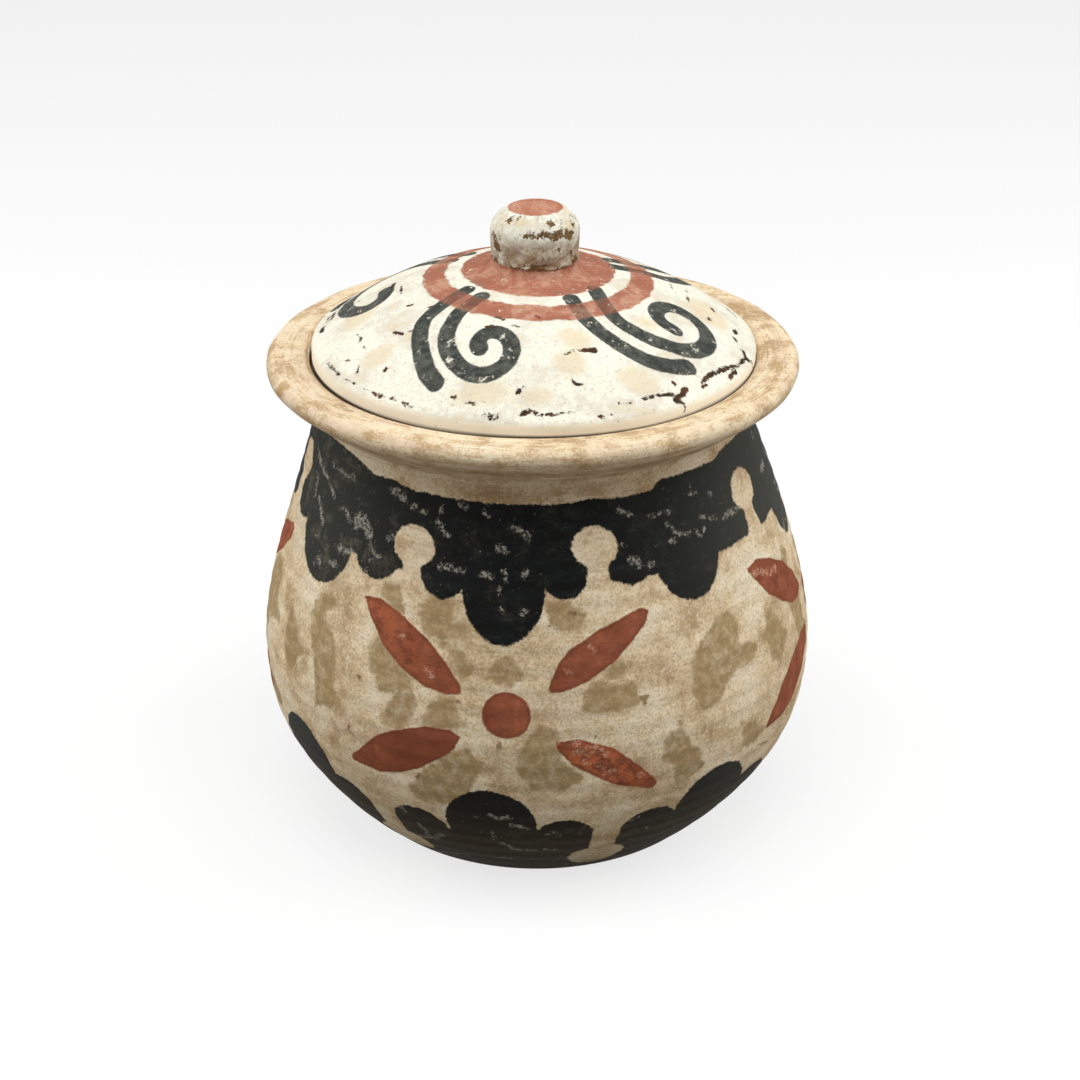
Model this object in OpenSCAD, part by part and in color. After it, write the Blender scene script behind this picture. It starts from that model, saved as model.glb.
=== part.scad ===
// Round-bellied earthenware jar with a flared rim, a domed lid that drops
// into a gallery inside the rim, and a ball knob luted to the lid.
// Millimetres. The origin is the centre of the base and +Z is up.

/* [Jar] */
// Widest diameter of the belly
belly_d = 200; // [180:1:240]
// Height of the widest part of the belly above the base
belly_z = 65; // [55:1:85]
// Diameter of the flat that the jar stands on
base_d = 130; // [100:1:150]
// Radius of the worn edge round the base
heel_r = 4; // [2:0.5:8]
// Angle of the wall above level where it leaves the base, in degrees
heel_angle = 44; // [35:1:60]
// Length of the lower wall's sweep out of the base
heel_sweep = 44.5; // [30:0.5:50]
// How far the widest part stays upright below its middle
belly_fall = 16; // [8:1:25]
// How far the widest part stays upright above its middle
belly_rise = 28; // [15:1:40]
// Thickness of the thrown wall
wall = 7; // [5:0.5:9]
// Thickness of the floor
floor_t = 9; // [6:0.5:12]
// Height over which the floor turns up into the wall
floor_sweep = 12; // [6:1:20]

/* [Neck and rim] */
// Outer diameter of the neck at its narrowest
neck_d = 152; // [140:1:164]
// Length of the upright collar at the neck
collar = 7.5; // [4:0.5:14]
// Overall height of the jar, up to the crest of its rim
jar_h = 175; // [150:1:220]
// Distance from the crest of the rim down to the narrowest part of the neck
neck_drop = 19; // [17:1:28]
// Outer diameter of the flared rim
rim_d = 186; // [180:1:210]
// Radius of the rounded lip
lip_r = 3.5; // [2.5:0.5:5]
// Slope of the underside of the rim, in degrees above level
flare_angle = 40; // [30:1:50]
// How far the top of the rim falls from its crest to its inner edge
crown = 1.5; // [0.5:0.5:2.5]

/* [Gallery] */
// Diameter of the recess that the lid drops into
gallery_d = 156; // [154:1:162]
// Depth of the recess below the inner edge of the rim
gallery_depth = 6.5; // [4:0.5:8]
// Rounding of the inner edges of the rim, of the ledge and of the lid's seat
edge_r = 0.8; // [0.4:0.2:1.6]

/* [Lid] */
// Gap all round between the lid and the gallery
lid_gap = 1; // [0.5:0.1:2]
// Height of the lid's upright edge, from its seat to the foot of the dome
lid_edge = 10.5; // [8:0.5:14]
// Rise of the dome above the lid's upright edge
dome_rise = 27; // [18:0.5:36]
// Fullness of the dome: 2 is a parabola and more is flatter on top
dome_power = 2.3; // [1.8:0.1:3]
// Thickness of the dome
lid_wall = 6.5; // [5:0.5:8]
// Width of the flat ring that the lid rests on
seat_w = 8; // [6:0.5:10]
// Rounding of the corner between the dome and the lid's edge
lid_round = 1.5; // [1:0.5:4]
// Diameter of the boss at the middle of the lid
boss_d = 50; // [44:1:60]
// Height of the boss above the top of the dome
boss_h = 3; // [1:0.5:6]

/* [Knob] */
// Widest diameter of the knob
knob_d = 31; // [28:0.5:40]
// Height of the knob above its foot
knob_h = 19.5; // [16:0.5:28]
// Height of the widest part of the knob above its foot
knob_mid = 10; // [7:0.5:12]
// Diameter of the knob's foot
knob_foot_d = 29.5; // [22:0.5:30]
// How far the foot stands out over the top of the boss
foot_lap = 0.4; // [0:0.1:1]

/* [Hidden] */
$fn = 96;

belly_r = belly_d / 2;
base_r = base_d / 2;
neck_r = neck_d / 2;
neck_z = jar_h - neck_drop;
rim_r = rim_d / 2;
gallery_r = gallery_d / 2;
rim_in_z = jar_h - crown;
ledge_z = rim_in_z - gallery_depth;
throat_r = neck_r - wall;
lid_r = gallery_r - lid_gap;
dome_z0 = ledge_z + lid_edge;
dome_top = dome_z0 + dome_rise;
seat_in_r = lid_r - seat_w;
boss_r = boss_d / 2;
knob_seat_z = dome_top + boss_h;
knob_r = knob_d / 2;
knob_foot_r = knob_foot_d / 2;
boss_top_r = knob_foot_r - foot_lap;

WALL_STEPS = 28;    // points along each long curve
BEND_STEPS = 10;    // points along each short curve or rounded edge
ROUND = 0.55;       // share of a quarter turn that its handles take to look round
CREASE = 0.12;      // share of the flare over which it leaves the neck
JAR_COLOUR = [0.80, 0.72, 0.57];
LID_COLOUR = [0.95, 0.93, 0.86];
KNOB_COLOUR = [0.90, 0.86, 0.78];

// Cubic curve from a to d with the handles b and c
function curve(a, b, c, d, steps) =
    [for (i = [0:steps])
        let (t = i / steps, s = 1 - t)
        s^3 * a + 3 * s^2 * t * b + 3 * s * t^2 * c + t^3 * d];

// Rounded edge about a centre, from one angle to another
function arc(centre, r, from, to) =
    [for (i = [0:BEND_STEPS])
        let (angle = from + (to - from) * i / BEND_STEPS)
        centre + r * [cos(angle), sin(angle)]];

// The same line moved to its left by depth, so a wall keeps its thickness
function inset(path, depth) =
    [for (i = [0:len(path) - 1])
        let (run = path[min(i + 1, len(path) - 1)] - path[max(i - 1, 0)])
        path[i] + depth * [-run.y, run.x] / norm(run)];

function reversed(path) = [for (i = [len(path) - 1:-1:0]) path[i]];

// Height of the top of the dome at a distance from the axis
function dome_z(r) = dome_top - dome_rise * (r / lid_r)^dome_power;

// Outside of the belly, from the heel up to the neck
heel_end = [base_r + heel_r * sin(heel_angle), heel_r * (1 - cos(heel_angle))];
lower_wall = curve(
    heel_end,
    heel_end + heel_sweep * [cos(heel_angle), sin(heel_angle)],
    [belly_r, belly_z - belly_fall],
    [belly_r, belly_z],
    WALL_STEPS);
upper_wall = curve(
    [belly_r, belly_z],
    [belly_r, belly_z + belly_rise],
    [neck_r, neck_z - collar],
    [neck_r, neck_z],
    WALL_STEPS);
belly_side = concat(lower_wall, [for (i = [1:WALL_STEPS]) upper_wall[i]]);

// Flared rim: its underside, rounded lip and crowned top, and the ledge in it
function rim_profile() =
    let (
        lip_centre = [rim_r - lip_r, jar_h - lip_r],
        under = [cos(flare_angle), sin(flare_angle)],
        lip = arc(lip_centre, lip_r, flare_angle - 90, 90),
        flare_len = norm(lip[0] - [neck_r, neck_z]),
        flare = curve(
            [neck_r, neck_z],
            [neck_r, neck_z + flare_len * CREASE],
            lip[0] - under * flare_len * ROUND,
            lip[0],
            WALL_STEPS),
        inner_edge = arc([gallery_r + edge_r, rim_in_z - edge_r], edge_r, 90, 180),
        crest = curve(
            [lip_centre.x, jar_h],
            [lip_centre.x + (gallery_r - lip_centre.x) * ROUND, jar_h],
            inner_edge[0] + [0, crown * ROUND],
            inner_edge[0],
            BEND_STEPS),
        ledge_edge = arc([throat_r + edge_r, ledge_z - edge_r], edge_r, 90, 180))
    concat(
        [for (i = [1:WALL_STEPS - 1]) flare[i]],
        lip,
        [for (i = [1:BEND_STEPS - 1]) crest[i]],
        inner_edge,
        [[gallery_r, ledge_z]],
        ledge_edge);

// Inside of the jar, from the neck down to the middle of the floor
function hollow_profile() =
    let (
        side = [for (p = inset(belly_side, wall)) if (p.y > floor_t + floor_sweep) p],
        foot = side[0],
        lean = (side[1] - foot) / norm(side[1] - foot),
        sweep = curve(
            [0, floor_t],
            [foot.x * ROUND, floor_t],
            foot - lean * floor_sweep,
            foot,
            BEND_STEPS))
    concat(reversed(side), [for (i = [BEND_STEPS - 1:-1:0]) sweep[i]]);

// Thrown vessel: base, belly, neck and flared rim in one wall
module jar() {
    heel = arc([base_r, heel_r], heel_r, -90, heel_angle - 90);
    color(JAR_COLOUR)
        rotate_extrude()
            polygon(concat(
                [[0, 0]],
                heel,
                [for (i = [1:len(belly_side) - 1]) belly_side[i]],
                rim_profile(),
                hollow_profile()));
}

// Domed lid: its edge drops into the gallery and its seat rests on the ledge
module lid() {
    dome_start_r = lid_r - lid_round;
    dome = [for (i = [0:WALL_STEPS])
        let (r = dome_start_r + (boss_r - dome_start_r) * i / WALL_STEPS)
        [r, dome_z(r)]];
    corner = curve(
        [lid_r, dome_z0 - lid_round],
        [lid_r, dome_z0],
        [lid_r, dome_z0],
        dome[0],
        BEND_STEPS);
    boss = curve(
        dome[WALL_STEPS],
        [(boss_r + boss_top_r) / 2, dome_z((boss_r + boss_top_r) / 2)],
        [boss_top_r, dome_z(boss_top_r)],
        [boss_top_r, knob_seat_z],
        BEND_STEPS);
    crest = [for (i = [WALL_STEPS:-1:0]) [lid_r * i / WALL_STEPS, dome_z(lid_r * i / WALL_STEPS)]];
    hollow = [for (p = inset(crest, lid_wall)) if (p.x < seat_in_r && p.x > 0) p];
    seat = concat(
        arc([seat_in_r + edge_r, ledge_z + edge_r], edge_r, 180, 270),
        arc([lid_r - edge_r, ledge_z + edge_r], edge_r, 270, 360));
    color(LID_COLOUR)
        rotate_extrude()
            polygon(concat(
                seat,
                corner,
                [for (i = [1:WALL_STEPS]) dome[i]],
                [for (i = [1:BEND_STEPS]) boss[i]],
                [[0, knob_seat_z], [0, dome_top - lid_wall]],
                reversed(hollow)));
}

// Squat ball knob with a narrower foot, luted to the boss of the lid
module knob() {
    foot = [knob_foot_r, knob_seat_z];
    widest = [knob_r, knob_seat_z + knob_mid];
    top = [0, knob_seat_z + knob_h];
    cheek = curve(
        foot,
        foot + (widest - foot) * ROUND / 2,
        widest - [0, knob_mid * ROUND],
        widest,
        BEND_STEPS);
    cap = curve(
        widest,
        widest + [0, (knob_h - knob_mid) * ROUND],
        top + [knob_r * ROUND, 0],
        top,
        WALL_STEPS);
    color(KNOB_COLOUR)
        rotate_extrude()
            polygon(concat(
                [[0, knob_seat_z]],
                cheek,
                [for (i = [1:WALL_STEPS]) cap[i]]));
}

jar();
lid();
knob();
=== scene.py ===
import math

import bpy
import numpy as np
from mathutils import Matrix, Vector, noise


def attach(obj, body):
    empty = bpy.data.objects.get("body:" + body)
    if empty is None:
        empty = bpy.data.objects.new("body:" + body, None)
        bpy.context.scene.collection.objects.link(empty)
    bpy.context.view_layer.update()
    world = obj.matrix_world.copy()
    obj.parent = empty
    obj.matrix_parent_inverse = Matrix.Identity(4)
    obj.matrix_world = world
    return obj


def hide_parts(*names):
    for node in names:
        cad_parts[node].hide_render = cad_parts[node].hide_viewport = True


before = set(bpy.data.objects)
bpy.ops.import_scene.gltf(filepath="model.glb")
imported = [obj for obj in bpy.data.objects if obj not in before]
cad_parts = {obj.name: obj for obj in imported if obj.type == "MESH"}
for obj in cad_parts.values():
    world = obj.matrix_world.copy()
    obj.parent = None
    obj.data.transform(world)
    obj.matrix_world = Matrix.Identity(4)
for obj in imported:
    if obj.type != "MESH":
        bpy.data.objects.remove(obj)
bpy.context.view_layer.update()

# ---------------------------------------------------------------- named values
# Lengths are in millimetres and angles round the pot in degrees, counted from
# the front (-Y) towards +X, unless a name or a comment says otherwise.

MM = 0.001
SEED = 11
FAR = -9.0

# Camera: distance, downward pitch and framing of the view
VIEW_DISTANCE = 0.8
VIEW_PITCH = 0.4592
VIEW_TARGET = (0.0, 0.0, 0.09875)
VIEW_LENS = 72.926
VIEW_SHIFT = 0.0028

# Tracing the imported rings
RING_GRID = 0.02
RING_MERGE = 0.06
CORNER_TURN = math.radians(28)
UNEVEN = 6
SHARP = math.radians(40)

# Mesh density: columns round the axis, the share of them within FRONT_HALF of
# the front, and spacing of rows along the outline
JAR_COLUMNS = 420
LID_COLUMNS = 600
KNOB_COLUMNS = 200
FRONT_HALF = 90
FRONT_SHARE = 0.68
FINE = 1.25
COARSE = 6.0
LID_FINE = 0.85
KNOB_FINE = 0.7
UV_COARSE_SHARE = 0.25


def extent(node, axis, side):
    """How far a CAD node reaches along an axis, at its low (min) or its high (max) side."""
    return round(side(corner[axis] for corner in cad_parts[node].bound_box) / MM, 2)


# Sizes read from the frame, and those that hang on them
CREST_Z = extent("jar", 2, max)
NECK_Z = CREST_Z - 19
LEDGE_Z = extent("lid", 2, min)
LID_R = extent("lid", 0, max)
GALLERY_R = LID_R + 1
LID_EDGE_Z = LEDGE_Z + 10.5
KNOB_FOOT_Z = extent("knob", 2, min)
DOME_TOP_Z = KNOB_FOOT_Z - 3

# Hand-thrown unevenness
RIM_DRIFT = -1.5
LID_DRIFT = -1.1
LID_SPREAD = 0.5
KNOB_DRIFT = -0.6
LID_LEAN = 0.5
CHIP_DEPTH = 0.25
WOBBLE = 0.35
THROW_PITCH = 7.0
THROW_DEPTH = 0.12

# The chart is the painted wall laid flat: millimetres across for each degree round
# the belly, and heights as they are
CHART_DEGREE = 1.65

# Upper black band: pendants (azimuth, height of the tip, half-width), the lobes
# beside them (the same), and cream keyholes (azimuth, height of the round part)
PENDANTS = [
    (-56.5, 108.5, 18), (-7.2, 105.5, 15.2), (36.6, 112.5, 16), (83, 109, 17), (127, 107, 16),
    (171, 110, 16), (-145, 108, 17), (-101, 108, 17),
]
PENDANT_TALL = 20
LOBES = [
    (-38.5, 118.6, 10.8), (-21, 117.9, 8.8), (6.3, 119.9, 8.6), (21.6, 122.2, 9.2), (52, 124, 10),
    (66.5, 123, 10.4), (97, 120.5, 10), (113, 120, 10), (141, 119.6, 10), (157, 120, 10),
    (-175, 121, 10), (-159, 121, 10), (-131, 120.5, 10), (-115, 120, 10), (-87, 121, 10),
    (-71, 122.5, 10),
]
LOBE_TALL = 8.8
KEYHOLES = [
    (-79, 139), (-28.6, 132.8), (13.8, 135.6), (60.9, 138.1), (105, 135), (149, 134), (-167, 136),
    (-123, 135),
]
KEYHOLE_HALF = (9, 6.6)
KEYHOLE_STEM = 3.2
STRIP_LOW = 124
# Upper edge of the band, as azimuth and height
BRIM = [
    (-180, 152), (-120, 151.5), (-75, 155), (-57, 155), (-49.7, 153.4), (-42.9, 150.8), (-37.2, 151.5),
    (-30, 150), (8.7, 149.8), (14, 150.8), (20.4, 149.8), (30, 150.2), (32.7, 152.6), (52, 152.2),
    (57, 154.2), (75, 155), (120, 151.5), (180, 152),
]

# Lower black band: peaks (azimuth, height) and cream wells between them
PEAKS = [
    (-57, 56), (-9.5, 53.5), (39.5, 50.5), (84, 54), (129, 53), (174, 55), (-141, 53), (-100, 55),
]
PEAK_HALF = (15.6, 17)
WELLS = [
    (-79, 14), (-35, 14), (15, 13.5), (62, 14), (107, 14), (151, 13), (-163, 14), (-121, 14),
]
WELL_HALF = (12, 7.6)
WELL_STEM = 5.0
BUD_OFFSET = 9.4
BUD_TOP = 40
BUD_HALF = (10.8, 9.5)
SKIRT_TOP = 31

# Flowers: the eye (azimuth, height) and the outlines of its four petals, in
# chart millimetres from the eye
FLOWERS = [(-6, 82.3), (87, 84), (178, 83), (-104, 84)]
EYE_R = 7.9
PETALS = [
    [
        (-56, 30), (-48, 31), (-38, 27.5), (-28.5, 22.5), (-21, 16), (-15.5, 9), (-15, 6), (-20, 5),
        (-28, 6.5), (-36, 10.5), (-45, 17), (-52.5, 25.5),
    ],
    [
        (13.5, 8), (14, 11), (17, 17.5), (21, 22), (31.5, 27.5), (46.5, 32.5), (50, 31.5), (48, 27),
        (36.5, 17), (26.5, 11), (18, 8),
    ],
    [
        (-56, -28.5), (-44.5, -15.5), (-38, -11.5), (-26, -7), (-18, -7), (-14.5, -9), (-17.5, -15),
        (-29, -24), (-36, -27.5), (-44, -30), (-55, -29.5),
    ],
    [
        (16, -11.5), (16, -9), (23, -8.5), (34, -12.5), (43, -21), (50, -29.5), (48, -32), (35, -27.5),
        (21, -18),
    ],
]

# Sponge dabs on the wall, as outlines in chart millimetres
DABS = [
    [
        (-88, 105), (-82, 108), (-78, 105), (-84, 99), (-75, 94), (-73, 77), (-69, 72),
        (-83, 66), (-84, 75), (-88, 89), (-91, 98),
    ],
    [(-60, 101), (-54, 104), (-42, 91), (-41, 86), (-54, 83), (-60, 92)],
    [(-52, 80), (-47, 85), (-41, 86), (-39, 82), (-44, 72), (-52, 72)],
    [
        (-42, 115), (-36, 118), (-29, 118), (-29, 112), (-24, 112), (-24, 108), (-32, 103),
        (-39, 107),
    ],
    [(-59, 119), (-50, 120), (-49, 112), (-60, 115)],
    [(-31, 103), (-27, 104), (-20, 98), (-25, 92)],
    [(-18, 95), (-12, 101), (-8, 102), (-3, 95), (-9, 92), (-16, 93)],
    [(-37, 82), (-33, 86), (-25, 87), (-25, 79), (-23, 78), (-26, 76), (-38, 74), (-38, 79)],
    [(-38, 57), (-30, 66), (-23, 70), (-16, 65), (-21, 53), (-30, 44), (-41, 45), (-42, 50)],
    [(-5, 73), (1, 79), (6, 77), (8, 67), (15, 59), (10, 54), (-2, 54), (-6, 66)],
    [(15, 91), (20, 93), (32, 91), (34, 85), (31, 82), (24, 83), (17, 81), (14, 85)],
    [(24, 98), (28, 100), (30, 96), (27, 93), (22, 94)],
    [
        (66, 105), (73, 105), (77, 100), (76, 93), (84, 89), (83, 86), (69, 82), (65, 76),
        (56, 75), (53, 83), (54, 93), (61, 101),
    ],
    [(43, 70), (48, 74), (52, 65), (58, 54), (52, 49), (47, 50), (44, 58), (41, 63)],
    [(93, 96), (98, 95), (105, 85), (98, 76), (93, 79), (90, 88)],
    [(74, 64), (81, 62), (87, 56), (81, 52), (75, 54)],
    [(4, 119), (10, 119), (18, 115), (15, 111), (9, 110), (4, 115)],
]
# The same dabs again round the sides and back, by their turn and rise
DAB_TURNS = [(0, 0), (121, 2), (240, -3)]
HIDDEN_FROM = 70
# Rubbed places in the paint: half-width, and points along each on the chart
RUBS = [
    (0.7, [(-118.5, 147), (-114.5, 145), (-107.5, 143)]),
    (0.8, [(-106, 142), (-101, 141.5), (-97, 139.5), (-93, 137)]),
    (0.9, [(-111.5, 139), (-109.5, 136), (-109.5, 132.5)]),
    (1.1, [(-104.5, 133), (-102.5, 131.5), (-98.5, 129), (-97, 127)]),
    (0.6, [(-99.5, 147), (-94, 146.5)]), (0.6, [(-92, 147), (-87, 146.5), (-82.5, 147)]),
    (1.2, [(-60.5, 148), (-57.5, 148), (-54, 146.5)]), (1.4, [(-76.5, 132.5), (-77, 134.5)]),
    (2.2, [(-74.5, 135.5), (-71.5, 134.5), (-69, 132)]), (0.9, [(-59, 132.5), (-57.5, 133.5)]),
    (0.9, [(-86, 135.5), (-82.5, 135), (-80, 133)]), (0.8, [(-67.5, 129), (-64.5, 126.5), (-62, 126)]),
    (1.3, [(-83, 123), (-78.5, 123.5), (-76.5, 124)]), (1, [(-86.5, 117), (-83, 117)]),
    (0.8, [(-96.5, 113.5), (-94.5, 115.5), (-93, 114.5)]),
    (0.8, [(-38.5, 142), (-36.5, 140.5), (-35, 138.5), (-33, 138)]),
    (0.9, [(-36, 128), (-33, 128.5), (-30.5, 128), (-26.5, 128)]), (1, [(-19.5, 127.5), (-16, 127)]),
    (0.6, [(-12, 128.5), (-10.5, 128), (-11, 126.5)]), (1, [(-8, 142.5), (-5, 141.5), (-2, 139.5)]),
    (0.9, [(-14.5, 136.5), (-12.5, 135.5), (-10.5, 135)]), (0.9, [(-4.5, 127.5), (-3.5, 129)]),
    (0.7, [(-13.5, 123.5), (-13, 122)]), (0.8, [(-12.5, 117), (-12, 116.5)]),
    (0.9, [(-5, 116), (-4, 116.5)]), (0.8, [(-29.5, 148.5), (-26.5, 147.5)]),
    (0.6, [(-19.5, 147), (-17.5, 145.5)]), (0.7, [(-46, 144), (-43, 144)]),
    (0.6, [(-37, 146.5), (-37.5, 144.5)]), (0.6, [(-47.5, 145.5), (-51, 144)]),
    (0.8, [(34, 146), (36.5, 145), (39, 143.5)]), (0.6, [(46.5, 142.5), (48.5, 142)]),
    (0.5, [(50.5, 142.5), (56, 142)]), (0.7, [(67.5, 145), (71, 145)]),
    (0.7, [(78, 142.5), (79.5, 142)]),
    (0.7, [(53, 139), (55, 137.5), (56.5, 135.5), (59, 134), (63, 133.5)]),
    (0.6, [(53.5, 133), (55.5, 132.5)]), (0.6, [(66, 133.5), (68, 131.5), (70.5, 133)]),
    (0.6, [(70, 137), (72.5, 136.5)]), (0.6, [(75, 135.5), (78, 135)]),
    (0.9, [(82.5, 133.5), (86.5, 134), (92, 133.5)]), (1.2, [(36, 130), (38.5, 129.5), (39, 128)]),
    (0.6, [(33.5, 135), (34.5, 135)]), (0.7, [(43, 127.5), (45.5, 127)]),
    (1.2, [(130.5, 137), (123.5, 136.5)]), (0.9, [(-43.5, 30), (-42.5, 27), (-43, 22)]),
    (0.9, [(-48, 19), (-41.5, 21.5), (-35, 26.5)]), (0.7, [(-54, 1), (-40, 9), (-30.5, 10.5)]),
    (0.9, [(-15.5, 42.5), (-13, 41), (-9, 42)]), (0.8, [(-9, 38), (-6.5, 37.5), (-3, 36)]),
    (0.8, [(-13, 25.5), (-8, 22), (-1, 21.5)]), (0.5, [(-15.5, 32.5), (-15, 28)]),
    (0.6, [(-17.5, 13), (-10.5, 12.5)]), (1, [(-48, 38), (-47.5, 36.5)]),
    (0.5, [(3, 32), (6.5, 34), (8.5, 31.5)]), (0.5, [(2.5, 22.5), (8.5, 21)]),
    (0.7, [(10.5, 72.5), (13.5, 72.5)]), (0.9, [(11.5, 69), (16, 70.5)]),
    (1.1, [(18.5, 70.5), (20.5, 69), (22, 67.5)]), (0.8, [(15, 68.5), (16.5, 68)]),
    (0.5, [(20, 64), (22.5, 61), (25, 61)]), (0.6, [(21.5, 60), (23.5, 59.5)]),
    (0.9, [(33, 57), (35, 57)]), (0.5, [(14.5, 65), (19, 63.5)]), (0.7, [(17.5, 105), (19.5, 102.5)]),
    (0.5, [(9, 97.5), (11.5, 96)]), (0.9, [(-37, 94.5), (-35, 92.5)]),
    (0.7, [(-49, 103), (-47, 103.5)]), (0.5, [(-54.5, 63), (-54, 62.5)]),
    (1.1, [(90, 111.5), (95.5, 110.5), (102, 107.5), (107, 107)]),
]
HIDDEN_RUBS = 150
# Small dark marks on the slip, given in the same way
MARKS = [
    (0.8, [(-12, 72.5), (-12, 70.5)]), (0.5, [(-26.5, 85.5), (-24.5, 85.5)]),
    (0.7, [(34, 85.5), (36.5, 85.5)]), (0.8, [(35, 84), (35.5, 83.5)]),
    (0.6, [(11, 116), (13.5, 115.5)]), (0.6, [(-65.5, 66.5), (-66, 65)]),
    (0.8, [(-63, 85.5), (-62, 85)]), (0.5, [(45, 100.5), (46, 100.5)]), (0.4, [(48, 97.5), (48.5, 97)]),
    (0.6, [(85, 49.5), (91.5, 47)]), (0.4, [(18, 75), (20, 73.5)]), (0.4, [(4, 112), (6.5, 111)]),
    (0.5, [(-75, 69.5), (-74, 69)]), (0.5, [(-38.5, 56.5), (-39.5, 54.5)]),
    (0.4, [(43, 128.5), (43, 125.5)]),
]

# Lid: terracotta disc and ring (inner and outer radius), off the lid's axis
DISC_CENTRE = (1.5, 0.5)
DISC_R = 26.5
RING_IN = 32.0
RING_OUT = 40.0
SCROLL_HALF = 2.9
SCROLL_TURNS = [0, 154, 226]
# One scroll as it lies at the front: points along the curl and its outer stroke.
# The turns above set it round the lid too; the scrolls at both sides differ.
CURL = [
    (-17.5, -24), (-21, -27.5), (-24, -30.5), (-26.6, -35), (-28.3, -40), (-28.6, -45), (-27.4, -50),
    (-25, -54.6), (-22.2, -57.6), (-18.7, -59.6), (-15.2, -60.2), (-11.7, -59.1), (-8.7, -56.6),
    (-7.1, -53.3), (-7.2, -50), (-8.3, -47.4), (-10.2, -45.3), (-12.7, -44), (-15.2, -44),
    (-17.2, -45.4), (-18.2, -47.7), (-17.6, -50.2),
]
GUARD = [
    (-22.5, -18), (-28, -22.5), (-33, -26.8), (-36.4, -31), (-37.5, -36), (-37.6, -40), (-37, -45),
    (-36, -50), (-34.5, -55), (-31.6, -59.6),
]
# The right-hand scroll is rounder
CURL_RIGHT = [
    (20.5, -18), (22.5, -24), (25, -30), (29, -35), (33.4, -37.1), (38, -38.3), (44, -38.3), (50, -37),
    (54.2, -34.3), (57.4, -30), (58.8, -25), (57.8, -20), (54.6, -16.4), (50, -14.8), (45.6, -16),
    (42.4, -19), (41.2, -23), (43, -27), (47.2, -28.8),
]
GUARD_RIGHT = [
    (12.5, -26), (14.5, -31), (17.4, -36.6), (20.9, -40.7), (24.9, -43.7), (28.9, -45.9), (33.5, -47.6),
    (38, -48.2), (43, -47.7), (47.6, -46), (51, -43.8),
]
CURL_LEFT = [
    (-29, 14), (-38, 22), (-46, 27.5), (-54, 28), (-60.5, 23.5), (-64.5, 16), (-66, 9.5), (-65.4, 3),
    (-62.4, -3.2), (-58, -6.8), (-54, -6.2), (-51.4, -2.3), (-51.2, 2.6),
]
GUARD_LEFT = [
    (-23, 20), (-31, 28), (-40, 34.5), (-50, 37.5), (-59, 35.5), (-66, 29), (-70, 21),
]
# Chips through the white to the dark ground: half-width, and points along each
CHIPS = [
    (0.61, [(-4, -74), (-1, -73), (2.5, -74)]), (0.3, [(4, -74), (7.5, -73.5), (12, -72.5)]),
    (0.37, [(10, -53.5), (13, -51.5), (17.5, -51)]), (0.8, [(16.5, -51), (20, -50)]),
    (0.42, [(12.5, -62), (13.5, -63.5), (16, -63.5)]),
    (0.42, [(35.5, -63), (40.5, -60), (45.5, -57.5)]), (0.31, [(27.5, -67), (32, -65.5)]),
    (0.98, [(47, -58), (50, -53.5)]), (0.61, [(46, -59.5), (48.5, -59)]),
    (0.61, [(55.5, -47.5), (59, -41.5)]), (0.8, [(59, -41.5), (65, -34)]),
    (0.67, [(65, -34), (70, -26.5), (72, -20), (71.5, -17.5)]), (0.61, [(65, -39), (67.5, -33.5)]),
    (0.37, [(70, -26.5), (74, -20.5)]), (0.55, [(55.5, -49.5), (57, -47)]),
    (0.61, [(45.5, -53), (46, -53.5)]), (0.49, [(68.5, -12.5), (69.5, -14)]),
    (0.3, [(21, -72.5), (26, -70.5)]), (0.3, [(-69, -29.5), (-67.5, -33.5), (-66, -36.5)]),
    (0.22, [(-66, -36.5), (-63, -42), (-59, -47)]), (0.22, [(-55.5, -51), (-53, -53.5), (-51, -56)]),
    (0.3, [(-52, -54.5), (-49, -57.5)]), (0.3, [(-48, -58), (-44.5, -60.5), (-40.5, -63.5)]),
    (0.22, [(-50, -57), (-46.5, -59.5), (-44, -61.5)]), (0.22, [(-42, -63), (-39, -65)]),
    (0.52, [(-58.5, -27.5), (-58, -26.5)]), (0.32, [(-60, -22.5), (-58, -26.5)]),
    (0.29, [(-57, -31.5), (-56, -34)]), (0.35, [(-63, -33.5), (-61.5, -35)]),
    (0.46, [(-46.5, -31.5), (-43.5, -34.5)]), (0.29, [(-42, -34), (-40.5, -34.5)]),
    (0.52, [(-49, -47.5), (-48.5, -47)]), (0.29, [(-58, -40), (-58.5, -42.5)]),
    (0.41, [(-26.5, -65.5), (-25, -66)]), (0.38, [(-21.5, -68.5), (-19, -69)]),
    (0.22, [(-19, -73), (-17, -73.5)]), (0.22, [(-15.5, -74), (-13.5, -74.5), (-11, -75)]),
    (0.29, [(-16, -73), (-11.5, -73.5)]), (0.35, [(-5.5, -67.5), (-4.5, -66.5), (-3.5, -65.5)]),
    (0.29, [(-43, -18.5), (-41, -19)]), (0.29, [(-35.5, -24), (-34, -24)]),
    (0.46, [(-15.5, -41), (-13.5, -41)]), (0.29, [(-7, -41.5), (-4.5, -42.5)]),
    (0.58, [(-13, -37), (-10, -38.5)]), (0.29, [(0.5, -37), (2, -38)]),
]
HIDDEN_CHIPS = 46
# Tan dabs on the lid: x, y and half-sizes
LID_DABS = [
    (13.5, -46.5, 5.5, 4), (12, -57, 5, 4.5), (34, -57.5, 6.5, 4.5), (37, -31, 4, 2.5),
    (-17, -66, 8, 3.5), (0, -68.6, 6, 3), (-52, -40, 5, 4), (60, -5, 7, 9), (-60, -10, 6, 8),
    (30, 60, 8, 6), (-25, 62, 7, 6),
]

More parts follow.
